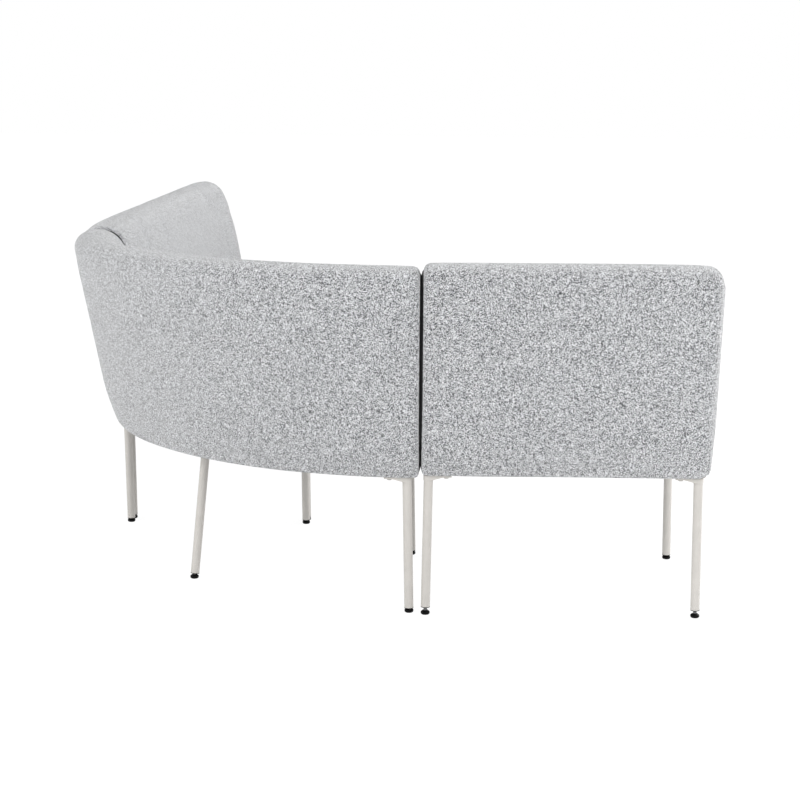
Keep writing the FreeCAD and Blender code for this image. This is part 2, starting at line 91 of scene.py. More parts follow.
def makeCamera(place):
    turn, down, roll = place["turn"], place["lookDown"], place["roll"]
    ahead = Vector((math.sin(turn) * math.cos(down), math.cos(turn) * math.cos(down), -math.sin(down)))
    right = Vector((math.cos(turn), -math.sin(turn), 0))
    up = right.cross(ahead)
    rolledRight = right * math.cos(roll) + up * math.sin(roll)
    rolledUp = up * math.cos(roll) - right * math.sin(roll)
    camera = addObject("camera", bpy.data.cameras.new("camera"))
    camera.data.lens = place["lens"]
    camera.data.sensor_width = place["sensor"]
    camera.data.clip_end = place["farthest"]
    turned = Matrix((rolledRight, rolledUp, -ahead)).transposed().to_4x4()
    camera.matrix_world = Matrix.Translation(cornerOrigin + Vector(place["fromCorner"])) @ turned
    bpy.context.scene.camera = camera


makeCamera(cameraPlace)


# A place on a module: a share of its length and a distance more along it, a depth and a height
def straightPlace(width, matrix):
    def place(share, along, depth, height):
        return matrix @ Vector((share * width + along, depth, height))

    return place


def cornerPlace(share, along, depth, height):
    radius = plan["cornerReach"] - depth
    angle = math.pi * (1 + share / 2) + along / radius
    axis = cornerOrigin + Vector((plan["cornerReach"], plan["cornerReach"], 0))
    return axis + Vector((radius * math.cos(angle), radius * math.sin(angle), height))


def singleMatrix():
    tilt = -math.asin(plan["singleRearRaise"] / plan["legSpacing"])
    frontFeet = Matrix.Translation((0, plan["legSpacing"], 0))
    tilted = frontFeet @ Matrix.Rotation(tilt, 4, "X") @ frontFeet.inverted()
    return Matrix.Translation(cornerOrigin + Vector((step, -plan["singleStepBack"], 0))) @ tilted


def longMatrix():
    farEnd = cornerOrigin + Vector((0, step + plan["longWidth"], 0))
    return Matrix.Translation(farEnd) @ Matrix.Rotation(-math.pi / 2, 4, "Z")


# The back's changes are given for both ends: backRaise is how much higher its top is there, moreCrown
# and moreRadius how much fuller and rounder its front
modules = {
    "single": {
        "place": straightPlace(plan["singleWidth"], singleMatrix()),
        "length": plan["singleWidth"],
        "ends": ("joined", "free"),
        "backRaise": (0, 0),
        "moreCrown": (0, 0),
        "moreRadius": (0, 0),
    },
    "corner": {
        "place": cornerPlace,
        "length": plan["cornerRearRadius"] * math.pi / 2,
        "ends": ("joined", "joined"),
        "backRaise": (0, 0),
        "moreCrown": (0, 0),
        "moreRadius": (0.005, 0),
    },
    "long": {
        "place": straightPlace(plan["longWidth"], longMatrix()),
        "length": plan["longWidth"],
        "ends": ("slack", "butted"),
        "backRaise": (0.0005, 0.011),
        "moreCrown": (0.007, 0.003),
        "moreRadius": (0, -0.010),
    },
}

# Cross-sections of the two cushions: corners with their radii, y forward and z up. The tuck is how far
# the back's rear face is drawn forward at its bottom edge, and from what height above it
backShape = {
    "recline": 10.9,
    "lineAtFloor": 0.0254,
    "topHeight": 0.805,
    "thickness": 0.112,
    "rearTopRadius": 0.033,
    "frontTopRadius": 0.069,
    "rearLowRadius": 0.008,
    "frontLowRadius": 0.010,
    "tuckHeight": 0.075,
    "tuckDepth": 0.013,
    "tuckRadius": 0.35,
    "crown": 0.012,
    "underside": 0.319,
}
seatShape = {
    "edgeHeight": 0.442,
    "crown": 0.008,
    "front": 0.530,
    "backGap": 0.002,
    "frontTopRadius": 0.038,
    "rearTopRadius": 0.024,
    "frontLowRadius": 0.014,
    "rearLowRadius": 0.008,
}
# How far each side of a section comes in at an end: its rounding there, seen along the cushion
endRounding = {
    "back": {"free": {"top": 0.032, "face": 0.020, "low": 0.030, "droop": 0.0045, "droopLength": 0.045},
             "slack": {"top": 0.070, "face": 0.020, "low": 0.030, "droop": 0.026, "droopLength": 0.060},
             "joined": {"top": 0.0165, "face": 0.0065, "low": 0.0125, "droop": 0.002, "droopLength": 0.030},
             "butted": {"top": 0.010, "face": 0.0055, "low": 0.0125, "droop": 0.001, "droopLength": 0.030}},
    "seat": {"free": {"top": 0.020, "face": 0.024, "low": 0.012, "droop": 0.002, "droopLength": 0.045},
             "joined": {"top": 0.012, "face": 0.012, "low": 0.010, "droop": 0.0005, "droopLength": 0.045}},
}
endRounding["seat"].update(slack=endRounding["seat"]["free"], butted=endRounding["seat"]["joined"])
smallestRadius = 0.0025

recline = math.radians(backShape["recline"])
across = Vector((math.cos(recline), math.sin(recline)))
upward = Vector((-math.sin(recline), math.cos(recline)))


def panelPoint(depth, rise):
    return Vector((backShape["lineAtFloor"], 0)) + across * depth + upward * rise


def panelPointAt(depth, height):
    return panelPoint(depth, (height - depth * across.y) / upward.y)


topArcDepth = backShape["thickness"] - backShape["frontTopRadius"]
topArcHeight = backShape["topHeight"] - backShape["frontTopRadius"]
panelRise = (topArcHeight - topArcDepth * across.y) / upward.y + backShape["frontTopRadius"]


def crownCorner(first, last, crown, rounding):
    half = (last - first).length / 2
    arcPart = 1 - rounding / half
    direction = (last - first).normalized()
    outward = Vector((direction.y, -direction.x))
    rise = crown / (1 - arcPart / 2)
    corner = (first + last) / 2 + outward * rise
    turn = 2 * math.atan2(rise, half)
    return corner, arcPart * math.hypot(rise, half) / math.tan(turn / 2)


def radiusLess(radius, first, second):
    return max(radius - (first + second) / 2, smallestRadius)


def backCorners(topIn, faceIn, lowIn, moreCrown=0, moreRadius=0):
    low = backShape["underside"] + lowIn
    front = backShape["thickness"] - faceIn
    top = panelRise - topIn
    frontRadius = max(backShape["frontTopRadius"] + moreRadius - faceIn, smallestRadius)
    rearRadius = max(backShape["rearTopRadius"] - faceIn, smallestRadius)
    frontLow = panelPointAt(front, low)
    frontHigh = panelPoint(front, top)
    rearLow = panelPointAt(faceIn, low) + Vector((backShape["tuckDepth"], 0))
    return [(rearLow, radiusLess(backShape["rearLowRadius"], faceIn, lowIn)),
            (frontLow, radiusLess(backShape["frontLowRadius"], faceIn, lowIn)),
            crownCorner(frontLow, frontHigh, backShape["crown"] + moreCrown, frontRadius),
            (frontHigh, frontRadius),
            (panelPoint(faceIn, top), rearRadius),
            (panelPointAt(faceIn, low + backShape["tuckHeight"]), backShape["tuckRadius"])]


# The seat's rear face stands just clear of the back's crowned front
def seatRear(height):
    outline = backCorners(0, 0, 0)
    low, crown = outline[1][0], outline[2][0]
    return low.x + (crown.x - low.x) / (crown.y - low.y) * (height - low.y) + seatShape["backGap"]


def seatCorners(topIn, faceIn, lowIn, moreCrown=0, moreRadius=0):
    low = backShape["underside"] + lowIn
    high = seatShape["edgeHeight"] - topIn
    front = seatShape["front"] - faceIn
    frontHigh, rearHigh = Vector((front, high)), Vector((seatRear(high) + faceIn, high))
    topRadius = radiusLess(seatShape["frontTopRadius"] + moreRadius, topIn, faceIn)
    return [(Vector((seatRear(low) + faceIn, low)), radiusLess(seatShape["rearLowRadius"], faceIn, lowIn)),
            (Vector((front, low)), radiusLess(seatShape["frontLowRadius"], faceIn, lowIn)),
            (frontHigh, topRadius),
            crownCorner(frontHigh, rearHigh, seatShape["crown"] + moreCrown, topRadius),
            (rearHigh, radiusLess(seatShape["rearTopRadius"], topIn, faceIn))]


def even(count):
    return tuple((n + 1) / (count + 1) for n in range(count))


# Points on a section's corners and on the sides after them. start makes the loop's two halves
# mirror each other, so that the ends can be closed by quads across
backLoop = {"corners": backCorners, "arcPoints": (3, 5, 23, 9, 9, 7), "start": 5,
            "sides": (even(4), even(1), even(1), even(0), even(19), even(1))}
seatLoop = {"corners": seatCorners, "arcPoints": (7, 8, 8, 23, 7), "start": 42,
            "sides": (even(25), (0.38, 0.75, 0.8, 0.85), even(1), even(1), even(4))}


def sectionLoop(loop, changes):
    corners = loop["corners"](*changes)
    arcs = []
    for index, (corner, radius) in enumerate(corners):
        before, after = corners[index - 1][0], corners[(index + 1) % len(corners)][0]
        arriving, leaving = (corner - before).normalized(), (after - corner).normalized()
        turn = arriving.angle(leaving)
        reach = radius * math.tan(turn / 2)
        centre = corner - arriving * reach + Vector((-arriving.y, arriving.x)) * radius
        first = math.atan2(-arriving.x, arriving.y)
        steps = loop["arcPoints"][index] - 1
        angles = [first + turn * n / steps for n in range(steps + 1)]
        arcs.append([centre + radius * Vector((math.cos(angle), math.sin(angle))) for angle in angles])
    points = []
    for arc, following, shares in zip(arcs, arcs[1:] + arcs[:1], loop["sides"]):
        points += arc + [arc[-1].lerp(following[0], share) for share in shares]
    return points[loop["start"]:] + points[:loop["start"]]


# Stations along a cushion: close together round its ends and at the seam of each end's boxing
stationing = {
    "pitch": 0.0165,
    "roundingSteps": (0, 0.0006, 0.002, 0.0045, 0.0072),
    "seam": 0.0105,
    "seamHalfWidth": 0.0016,
    "afterSeam": (0.0165, 0.0245, 0.0335, 0.044),
    "raiseFade": 0.1,
    "endPanelMap": 3.0,  # how far along the fabric's map the end panels lie
}
seamPlace, seamHalf = stationing["seam"], stationing["seamHalfWidth"]
nearSteps = [*stationing["roundingSteps"], seamPlace - seamHalf, seamPlace, seamPlace + seamHalf,
             *stationing["afterSeam"]]
seamRow = nearSteps.index(seamPlace)

# An end's panel: how far it bulges and stops short, the steps inwards of its rings, and whether it is
# lined black. At the joints the black lining is painted shade, darkening the gap between the cushions
openPanel = {"bulge": 0.0025, "shortened": 0, "steps": (0.006, 0.013, 0.021), "shadeLined": False}
jointPanel = {"bulge": 0.0026, "shortened": 0.0014, "steps": (0.003, 0.007, 0.013), "shadeLined": True}
endPanels = {"free": openPanel, "slack": openPanel, "joined": jointPanel, "butted": jointPanel}


def insetAt(radius, along):
    along = max(along, 0)
    if along >= radius:
        return 0
    return radius - math.sqrt(radius ** 2 - (radius - along) ** 2)


def endInsets(rounding, along):
    droop = rounding["droop"] * math.exp(-along / rounding["droopLength"])
    return [insetAt(rounding["top"], along) + droop, insetAt(rounding["face"], along),
            insetAt(rounding["low"], along)]


def stationsOf(length, shortened):
    body = length - 2 * nearSteps[-1]
    count = round(body / stationing["pitch"])
    stations = [(0, along + shortened[0]) for along in nearSteps]
    stations += [((nearSteps[-1] + body * n / count) / length, 0) for n in range(1, count)]
    return stations + [(1, -along - shortened[1]) for along in reversed(nearSteps)]


def distancesAround(section):
    around = [0.0]
    for point, following in zip(section, section[1:] + section[:1]):
        around.append(around[-1] + (following - point).length)
    return around


# Distance along the fabric: even on the middle, measured over the surface round the ends
def distancesAlong(rows, stations, length):
    fabric = [[share * length + along] * len(rows[0]) for share, along in stations]
    last = len(rows) - 1
    for index in range(len(nearSteps) - 2, -1, -1):
        for row, inner, outward in ((index, index + 1, -1), (last - index, last - index - 1, 1)):
            paces = [(point - within).length for point, within in zip(rows[row], rows[inner])]
            fabric[row] = [reached + outward * pace for reached, pace in zip(fabric[inner], paces)]
    return fabric


# A ring is a list of points' numbers with their places on the fabric's map, closed by its first point
def panelRing(first, section):
    offset = stationing["endPanelMap"]
    ring = [(first + spot, (point.x + offset, point.y)) for spot, point in enumerate(section)]
    return ring + ring[:1]


def quadsBetween(outer, inner):
    return [(outer[spot], outer[spot + 1], inner[spot + 1], inner[spot]) for spot in range(len(outer) - 1)]


def quadsAcross(ring):
    size = len(ring) - 1
    return [(ring[spot], ring[spot + 1], ring[size - 2 - spot], ring[size - 1 - spot])
            for spot in range(size // 2 - 1)]


def buildCushion(moduleName, kind, loop):
    module = modules[moduleName]
    place, length = module["place"], module["length"]
    roundings = [endRounding[kind][end] for end in module["ends"]]
    panels = [endPanels[end] for end in module["ends"]]
    shortened = [panel["shortened"] for panel in panels]
    fuller = ("backRaise", "moreCrown", "moreRadius")
    endChanges = [module[change] if kind == "back" else (0, 0) for change in fuller]

    def sectionAt(distance, insets, panelStep=0):
        raised, *more = [first + (last - first) * distance / length for first, last in endChanges]
        raised *= 1 - math.exp((distance - length) / stationing["raiseFade"])
        top, face, low = insets
        return sectionLoop(loop, (top - raised + panelStep, face + panelStep, low + panelStep, *more))

    stations = stationsOf(length, shortened)
    rows = []
    for share, along in stations:
        distance = share * length + along
        first = endInsets(roundings[0], distance - shortened[0])
        last = endInsets(roundings[1], length - shortened[1] - distance)
        section = sectionAt(distance, [max(pair) for pair in zip(first, last)])
        rows.append([place(share, along, point.x, point.y) for point in section])
    points = [point for row in rows for point in row]
    size = len(rows[0])

    around = distancesAround(sectionLoop(loop, (0, 0, 0)))
    fabric = distancesAlong(rows, stations, length)
    rings = [[(row * size + spot % size, (reached[spot % size], around[spot])) for spot in range(size + 1)]
             for row, reached in enumerate(fabric)]
    quads = [quad for outer, inner in zip(rings, rings[1:]) for quad in quadsBetween(outer, inner)]
    paintedShadeSlots = [0] * len(quads)

    for end, panel in enumerate(panels):
        insets = endInsets(roundings[end], 0)
        outer = panelRing(end * (len(rows) - 1) * size, sectionAt(length * end, insets))
        closing = []
        for panelStep in panel["steps"]:
            section = sectionAt(length * end, insets, panelStep)
            inner = panelRing(len(points), section)
            rise = panel["bulge"] * (1 - (1 - panelStep / panel["steps"][-1]) ** 2)
            along = (rise - panel["shortened"]) * (1 if end else -1)
            points += [place(end, along, point.x, point.y) for point in section]
            closing += quadsBetween(outer, inner)
            outer = inner
        closing += quadsAcross(outer)
        quads += closing if end else [quad[::-1] for quad in closing]
        # The joint panels take the second slot, the black lining: painted shade for the dark gap between
        # cushions
        paintedShadeSlots += [int(panel["shadeLined"])] * len(closing)

    name = moduleName + kind.capitalize() + "Cushion"
    cushion = newMesh(name, points, [[number for number, spot in quad] for quad in quads])
    layer = cushion.data.uv_layers.new(name="fabric")
    layer.data.foreach_set("uv", [value for quad in quads for number, spot in quad for value in spot])
    cushion.data.polygons.foreach_set("material_index", paintedShadeSlots)
    cushion.data.validate()
    return cushion, moduleName, kind, size, len(rows)


cushions = [buildCushion(moduleName, kind, loop) for moduleName in modules
            for kind, loop in (("back", backLoop), ("seat", seatLoop))]
print("cushions built:", len(cushions))

# The covers are drawn tight over foam: each cushion starts a little small and swells against its seams.
# Besides the end seams, what stays put is the back's underside, so many points each side of its
# section's start, and the seat's front seam, rear and underside, from past its section's half to short
# of its start
swelling = {
    "cloth": {
        "quality": 5,
        "mass": 0.35,
        "tension_stiffness": 12.0,
        "compression_stiffness": 12.0,
        "bending_stiffness": 1.2,
        "uniform_pressure_force": 4.0,
    },
    "frames": 20,
    "heldBack": 7,
    "heldSeat": (6, 4),
    "shrink": {"back": 0.0016, "seat": 0.0025},
    "limit": {"back": 0.0018, "seat": 0.0060},
    "inward": 0.0003,
}
# Shallow unevenness of the padding, and upright creases where the long back's cover is drawn down,
# at shares of its length
unevenness = {
    "size": 0.0007,
    "scale": 5.5,
    "fineSize": 0.00022,
    "fineScale": 19.0,
    "creased": ("long", "back"),
    "creases": (0.07, 0.15, 0.26, 0.41, 0.55, 0.72, 0.87),
    "creaseDepth": 0.0052,
    "creaseWidth": 0.038,
    "uncreasedNormal": 0.8,  # where a normal points up or down more than this, no crease runs
}
seamDepth = {"end": 0.0030, "front": 0.0018}


def heldSpots(kind, size):
    if kind == "back":
        beside = swelling["heldBack"]
        return [*range(beside), *range(size - beside, size)]
    pastHalf, shortOfStart = swelling["heldSeat"]
    return [0, *range(size // 2 + pastHalf, size - shortOfStart)]


def endSeams(rowCount):
    return seamRow, rowCount - 1 - seamRow


def swell(cushion, kind, size, rowCount):
    held = [row * size + spot for row in endSeams(rowCount) for spot in range(size)]
    held += [row * size + spot for row in range(rowCount) for spot in heldSpots(kind, size)]
    pinned = cushion.vertex_groups.new(name="pinned")
    pinned.add(held, 1.0, "REPLACE")
    normals = [point.normal.copy() for point in cushion.data.vertices]
    for point in set(range(rowCount * size)) - set(held):
        cushion.data.vertices[point].co -= normals[point] * swelling["shrink"][kind]
    cloth = cushion.modifiers.new("cloth", "CLOTH")
    for setting, value in swelling["cloth"].items():
        setattr(cloth.settings, setting, value)
    cloth.settings.vertex_group_mass = pinned.name
    cloth.settings.use_pressure = True
    cloth.settings.effector_weights.gravity = 0
    cloth.collision_settings.use_collision = False
    for number in range(1, swelling["frames"] + 1):
        bpy.context.scene.frame_set(number)
    evaluated = cushion.evaluated_get(bpy.context.evaluated_depsgraph_get())
    swollen = [point.co.copy() for point in evaluated.data.vertices]
    cushion.modifiers.remove(cloth)
    bpy.context.scene.frame_set(1)
    for point, moved, normal in zip(cushion.data.vertices, swollen, normals):
        rise = (moved - point.co).dot(normal)
        limit = swelling["limit"][kind] if rise > 0 else swelling["inward"]
        point.co += normal * limit * math.tanh(rise / limit)


def unevenCover(cushion, creased):
    mesh = cushion.data
    normals = [point.normal.copy() for point in mesh.vertices]
    layer = mesh.uv_layers["fabric"].data
    alongFabric = [0.0] * len(mesh.vertices)
    for corner in mesh.loops:
        alongFabric[corner.vertex_index] = layer[corner.index].uv.x
    for point, normal in zip(mesh.vertices, normals):
        change = unevenness["size"] * noise.noise(point.co * unevenness["scale"])
        change += unevenness["fineSize"] * noise.noise(point.co * unevenness["fineScale"])
        if creased and abs(normal.z) < unevenness["uncreasedNormal"]:
            share = alongFabric[point.index] / plan["longWidth"]
            for crease in unevenness["creases"]:
                off = (share - crease) * plan["longWidth"] / unevenness["creaseWidth"]
                change -= unevenness["creaseDepth"] * math.exp(-off ** 2)
        point.co += normal * change
    return normals


def pressSeams(cushion, kind, size, rowCount, normals):
    seams = [(row * size + spot, seamDepth["end"]) for row in endSeams(rowCount) for spot in range(size)]
    if kind == "seat":
        seams += [(row * size, seamDepth["front"]) for row in range(seamRow, rowCount - seamRow)]
    for number, depth in seams:
        cushion.data.vertices[number].co -= normals[number] * depth
    cushion.data.update()


for cushion, moduleName, kind, size, rowCount in cushions:
    swell(cushion, kind, size, rowCount)
    normals = unevenCover(cushion, (moduleName, kind) == unevenness["creased"])
    pressSeams(cushion, kind, size, rowCount, normals)
    smoother = cushion.modifiers.new("smooth", "SUBSURF")
    smoother.levels = smoother.render_levels = 1
    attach(cushion, "root")
    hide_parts("%s_%s_cover" % (moduleName, kind), "%s_%s_foam" % (moduleName, kind))
print("cushions covered")


# Nodes: a value is another node's socket, which is linked, or a plain value of its own
def addNode(tree, kind, values=None, **settings):
    node = tree.nodes.new(kind)
    for key, value in settings.items():
        setattr(node, key, value)
    for key, value in (values or {}).items():
        if isinstance(value, bpy.types.NodeSocket):
            tree.links.new(value, node.inputs[key])
        else:
            node.inputs[key].default_value = value
    return node


def calc(tree, operation, *values):
    return addNode(tree, "ShaderNodeMath", dict(enumerate(values)), operation=operation).outputs[0]


def calcVector(tree, operation, first, second):
    key = "Scale" if operation == "SCALE" else 1
    return addNode(tree, "ShaderNodeVectorMath", {0: first, key: second}, operation=operation).outputs[0]


def noiseTexture(tree, place, scale, detail):
    return addNode(tree, "ShaderNodeTexNoise", {"Vector": place, "Scale": scale, "Detail": detail})


# The mix node's colour sockets share their names with others, so they go by their numbers
def blendColours(tree, share, first, second):
    return addNode(tree, "ShaderNodeMix", {0: share, 6: first, 7: second}, data_type="RGBA").outputs[2]


def nodeGroup(name, kind, inputs, outputs):
    tree = bpy.data.node_groups.new(name, kind)
    for direction, sockets in (("INPUT", inputs), ("OUTPUT", outputs)):
        for socketName, valueKind in sockets.items():
            tree.interface.new_socket(socketName, in_out=direction, socket_type="NodeSocket" + valueKind)
    return tree, tree.nodes.new("NodeGroupInput"), tree.nodes.new("NodeGroupOutput")


# Plain weave of flecked yarns, measured in threads: they drift and wander, and each changes its shade
# at every fleck, from a phase of its own
weaveShape = {
    "driftScale": 0.33,
    "driftDetail": 2.0,
    "phaseSeeds": (300.5, 371.5),
    "phaseSpread": 9.0,
    "shadeSeeds": (5.5, 25.5),
    "ridge": 0.5,
    "slubStretch": (0.13, 0.2, 1),
    "slubDetail": 2.0,
}


# Shade is each yarn's own grey, Height the rounded threads, Slub the thicker and thinner stretches
def makeWeave(shape):
    inputs = {"Fabric": "Vector", "Thread": "Float", "Fleck": "Float", "Wander": "Float"}
    outputs = {"Shade": "Float", "Height": "Float", "Slub": "Float"}
    tree, given, made = nodeGroup("fleckedWeave", "ShaderNodeTree", inputs, outputs)
    perThread = calc(tree, "DIVIDE", 1.0, given.outputs["Thread"])
    threads = calcVector(tree, "SCALE", given.outputs["Fabric"], perThread)
    drift = noiseTexture(tree, threads, shape["driftScale"], shape["driftDetail"])
    centred = calcVector(tree, "SUBTRACT", drift.outputs["Color"], (0.5, 0.5, 0.5))
    wander = calcVector(tree, "SCALE", centred, given.outputs["Wander"])
    split = addNode(tree, "ShaderNodeSeparateXYZ", {0: calcVector(tree, "ADD", threads, wander)})
    spots = [split.outputs[0], split.outputs[1]]
    cells = [calc(tree, "FLOOR", spot) for spot in spots]
    angles = [calc(tree, "MULTIPLY", calc(tree, "FRACT", spot), math.pi) for spot in spots]
    waves = [calc(tree, "SINE", angle) for angle in angles]
    shades, domes = [], []
    for own, other in ((0, 1), (1, 0)):
        seeded = calc(tree, "ADD", cells[own], shape["phaseSeeds"][own])
        start = addNode(tree, "ShaderNodeTexWhiteNoise", {"W": seeded}, noise_dimensions="1D")
        phase = calc(tree, "MULTIPLY", start.outputs["Value"], shape["phaseSpread"])
        run = calc(tree, "ADD", calc(tree, "DIVIDE", spots[other], given.outputs["Fleck"]), phase)
        fleck = addNode(tree, "ShaderNodeCombineXYZ", {0: cells[own], 1: calc(tree, "FLOOR", run),
                                                       2: shape["shadeSeeds"][own]})
        shade = addNode(tree, "ShaderNodeTexWhiteNoise", {"Vector": fleck.outputs[0]})
        shades.append(shade.outputs["Value"])
        ridge = calc(tree, "MULTIPLY_ADD", waves[other], shape["ridge"], 1 - shape["ridge"])
        domes.append(calc(tree, "MULTIPLY", waves[own], ridge))
    over = calc(tree, "FLOORED_MODULO", calc(tree, "ADD", *cells), 2.0)
    under = calc(tree, "SUBTRACT", 1.0, over)
    for name, (crossing, lying) in (("Shade", shades), ("Height", domes)):
        above = calc(tree, "MULTIPLY", crossing, over)
        value = calc(tree, "ADD", above, calc(tree, "MULTIPLY", lying, under))
        tree.links.new(value, made.inputs[name])
    streaks = calcVector(tree, "MULTIPLY", threads, shape["slubStretch"])
    slub = noiseTexture(tree, streaks, 1.0, shape["slubDetail"])
    tree.links.new(slub.outputs[0], made.inputs["Slub"])
    return tree


# Fine unevenness of a finish: Value for colour and gloss, Height for relief
def makeGrain():
    inputs = {"Place": "Vector", "Coarse": "Float", "Fine": "Float"}
    outputs = {"Value": "Float", "Height": "Float"}
    tree, given, made = nodeGroup("fineGrain", "ShaderNodeTree", inputs, outputs)
    for scale, detail, result in (("Coarse", 3.0, "Value"), ("Fine", 1.0, "Height")):
        patches = noiseTexture(tree, given.outputs["Place"], given.outputs[scale], detail)
        tree.links.new(patches.outputs[0], made.inputs[result])
    return tree


weave = makeWeave(weaveShape)
grain = makeGrain()


def newMaterial(name, values):
    material = bpy.data.materials.new(name)
    material.use_nodes = True
    tree = material.node_tree
    shader = tree.nodes["Principled BSDF"]
    for key, value in values.items():
        shader.inputs[key].default_value = value
    return material, tree, shader


def connectBump(tree, shader, height, distance):
    bump = addNode(tree, "ShaderNodeBump", {"Height": height, "Distance": distance, "Strength": 1.0})
    tree.links.new(bump.outputs[0], shader.inputs["Normal"])


def colourRamp(tree, value, stops):
    ramp = addNode(tree, "ShaderNodeValToRGB", {0: value})
    elements = ramp.color_ramp.elements
    while len(elements) < len(stops):
        elements.new(0.5)  # its place follows below
    for element, (position, colour) in zip(elements, stops):
        element.position = position
        element.color = (*colour, 1)
    return ramp.outputs[0]


# The yarns' greys, by the share of flecks that are darker. The hollow shade is painted shade: how much
# darker the cloth is painted between its threads, where their height is low
fabricLook = {
    "weave": {"Thread": 0.0017, "Fleck": 1.25, "Wander": 0.9},
    "slub": 0.35,
    "paintedHollowShade": 0.3,
    "bump": 0.0009,
    "shader": {"Roughness": 0.92, "Sheen Weight": 0.65, "Sheen Roughness": 0.4, "Specular IOR Level": 0.25},
    "yarns": ((0.0, (0.006, 0.006, 0.007)), (0.25, (0.02, 0.021, 0.024)), (0.33, (0.27, 0.277, 0.295)),
              (0.55, (0.51, 0.52, 0.54)), (0.8, (0.83, 0.84, 0.86)), (1.0, (0.9, 0.91, 0.92))),
}


def makeFabric(look):
    material, tree, shader = newMaterial("flecked upholstery", look["shader"])
    place = addNode(tree, "ShaderNodeUVMap", uv_map="fabric").outputs[0]
    cloth = addNode(tree, "ShaderNodeGroup", {"Fabric": place, **look["weave"]}, node_tree=weave)
    slub = calc(tree, "MULTIPLY_ADD", cloth.outputs["Slub"], look["slub"], look["slub"] / -2)
    yarn = colourRamp(tree, calc(tree, "ADD", cloth.outputs["Shade"], slub), look["yarns"])
    # Painted shade: the yarn colour is darkened where the threads' height is low, between them
    paintedHollowShade = calc(tree, "MULTIPLY_ADD", cloth.outputs["Height"], look["paintedHollowShade"], 1 - look["paintedHollowShade"])
    tree.links.new(calcVector(tree, "SCALE", yarn, paintedHollowShade), shader.inputs["Base Color"])
    connectBump(tree, shader, cloth.outputs["Height"], look["bump"])
    return material


# The grained finishes: the shader's own values, the darker and the lighter colour, the grain's two
# scales, the bump's depth, and the roughness of the darker and the lighter places
grainedLooks = {
    "leg_paint": {"name": "powder-coated legs", "shader": {"Coat Weight": 0.08, "Coat Roughness": 0.35},
                  "colours": ((0.412, 0.396, 0.372), (0.444, 0.426, 0.402)),
                  "grain": {"Coarse": 35.0, "Fine": 1400.0}, "bump": 0.00005, "rough": (0.38, 0.5)},
    "bolt_paint": {"name": "coated bolts", "shader": {},
                   "colours": ((0.398, 0.384, 0.359), (0.432, 0.414, 0.391)),
                   "grain": {"Coarse": 60.0, "Fine": 1400.0}, "bump": 0.00004, "rough": (0.35, 0.5)},
    "black_plastic": {"name": "black moulded plastic", "shader": {"Specular IOR Level": 0.08},
                      "colours": ((0.002, 0.002, 0.002), (0.005, 0.005, 0.005)),
                      "grain": {"Coarse": 90.0, "Fine": 2500.0}, "bump": 0.00005, "rough": (0.4, 0.6)},
    "glide": {"name": "glide, plastic pad on zinc stem", "shader": {"Specular IOR Level": 0.08},
              "colours": ((0.002, 0.002, 0.002), (0.005, 0.005, 0.005)),
              "grain": {"Coarse": 120.0, "Fine": 2500.0}, "bump": 0.00006, "rough": (0.35, 0.6)},
    "zinc_steel": {"name": "zinc-plated steel", "shader": {"Metallic": 1.0},
                   "colours": ((0.52, 0.53, 0.54), (0.66, 0.67, 0.68)),
                   "grain": {"Coarse": 70.0, "Fine": 2000.0}, "bump": 0.00002, "rough": (0.3, 0.45)},
    "staples": {"name": "zinc staples", "shader": {"Metallic": 1.0},
                "colours": ((0.5, 0.5, 0.51), (0.68, 0.68, 0.69)),
                "grain": {"Coarse": 200.0, "Fine": 2500.0}, "bump": 0.00002, "rough": (0.3, 0.45)},
    "foam": {"name": "foam", "shader": {},
             "colours": ((0.74, 0.70, 0.58), (0.82, 0.78, 0.68)),
             "grain": {"Coarse": 300.0, "Fine": 900.0}, "bump": 0.0004, "rough": (0.9, 1.0)},
    "lining": {"name": "black lining", "shader": {"Specular IOR Level": 0.2},
               "colours": ((0.008, 0.008, 0.009), (0.022, 0.022, 0.023)),
               "grain": {"Coarse": 250.0, "Fine": 900.0}, "bump": 0.0003, "rough": (0.75, 0.95)},
}
glideStem = {"above": 0.0096, "colour": (0.16, 0.16, 0.165, 1)}
plywoodLook = {
    "shader": {"Roughness": 0.7},
    "stretch": (3.0, 3.0, 90.0),
    "scale": 8.0,
    "detail": 5.0,
    "colours": ((0.50, 0.35, 0.20), (0.70, 0.54, 0.36)),
    "bump": 0.0001,
}
colourStops = (0.3, 0.7)


def makeGrained(look):
    material, tree, shader = newMaterial(look["name"], look["shader"])
    place = addNode(tree, "ShaderNodeTexCoord").outputs["Object"]
    surface = addNode(tree, "ShaderNodeGroup", {"Place": place, **look["grain"]}, node_tree=grain)
    colour = colourRamp(tree, surface.outputs["Value"], list(zip(colourStops, look["colours"])))
    tree.links.new(colour, shader.inputs["Base Color"])
    low, high = look["rough"]
    roughness = addNode(tree, "ShaderNodeMapRange", {0: surface.outputs["Value"], 3: low, 4: high})
    tree.links.new(roughness.outputs[0], shader.inputs["Roughness"])
    connectBump(tree, shader, surface.outputs["Height"], look["bump"])
    return material


# The glides' stems are metal, above their plastic pads
def addStem(material, stem):
    tree = material.node_tree
    shader = tree.nodes["Principled BSDF"]
    place = addNode(tree, "ShaderNodeTexCoord").outputs["Object"]
    split = addNode(tree, "ShaderNodeSeparateXYZ", {0: place})
    above = calc(tree, "GREATER_THAN", split.outputs[2], stem["above"])
    plastic = shader.inputs["Base Color"].links[0].from_socket
    tree.links.new(blendColours(tree, above, plastic, stem["colour"]), shader.inputs["Base Color"])
    tree.links.new(above, shader.inputs["Metallic"])


